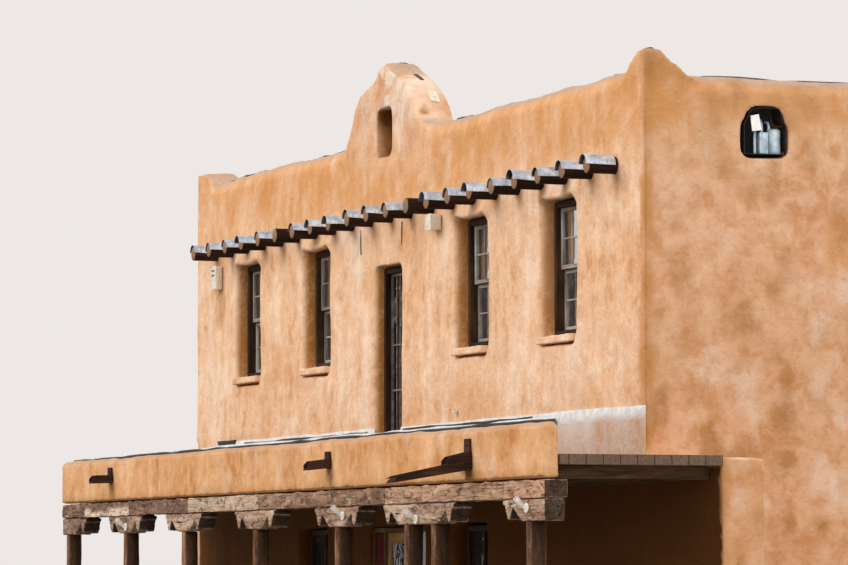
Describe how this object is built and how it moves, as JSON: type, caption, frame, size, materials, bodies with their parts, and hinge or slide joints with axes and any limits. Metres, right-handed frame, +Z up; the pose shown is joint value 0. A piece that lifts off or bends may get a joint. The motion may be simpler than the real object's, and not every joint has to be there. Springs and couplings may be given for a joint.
{
  "type": "adobe house",
  "caption": "Two-storey adobe house with a bell gable, log ends, sash windows and a long porch on carved corbels.",
  "frame": {"origin": "ground level at the outer face of the street front, in the middle of the two-storey part", "axes": "+X along the street front to the right as seen from the street, +Y into the house, +Z up"},
  "size_m": [19.35, 9.64, 8.385],
  "materials": {
    "adobe": "rough earth plaster",
    "earth_floor": "rough",
    "old_wood": "weathered",
    "dark_wood": "weathered",
    "door_wood": "satin",
    "red_wood": "satin",
    "grey_sheet": "weathered",
    "grey_iron": "satin",
    "pale_sheet": "matte",
    "dark_sheet": "matte",
    "window_glass": "clear"
  },
  "bodies": {
    "house": {"ground_floor": "earth_floor", "upper_floor": "old_wood", "front_wall_left": "adobe", "front_wall_middle": "adobe", "front_wall_right": "adobe", "left_wall": "adobe", "right_wall": "adobe", "back_wall": "adobe", "roof_deck": "earth_floor", "corner_peaks": "adobe", "bell_gable": "adobe", "roof_logs": "old_wood", "log_caps": "grey_sheet", "upper_window_frames": "old_wood", "upper_window_sashes": "old_wood", "upper_window_glass": "window_glass", "upper_window_sills": "adobe", "back_window_frames": "old_wood", "back_window_glass": "window_glass", "shop_window_frames": "dark_wood", "shop_window_glass": "window_glass", "upper_door_frame": "dark_wood", "upper_door": "dark_wood", "upper_screen_door": "grey_iron", "entrance_threshold": "adobe", "entrance_frame": "old_wood", "entrance_side_panel": "red_wood", "entrance_side_glass": "window_glass", "porch_posts": "old_wood", "porch_corbels": "old_wood", "porch_beam": "old_wood", "porch_joists": "old_wood", "porch_deck": "old_wood", "porch_parapet": "adobe", "spout_surrounds": "adobe", "porch_flashing": "pale_sheet", "porch_end_wall": "adobe", "roof_spouts": "dark_wood", "spout_extension": "dark_wood", "wall_boxes": "pale_sheet", "side_vent_lining": "dark_sheet", "roof_edging": "dark_sheet", "porch_lamps": "pale_sheet"},
    "door": {"entrance_door": "door_wood", "entrance_door_glass": "window_glass"}
  },
  "joints": [
    {"name": "entrance_hinge", "type": "hinge", "parent": "house", "child": "door", "pos_m": [-0.304, 0.105, 1.13], "axis": [0, 0, 1], "range_deg": [0, 90]}
  ]
}
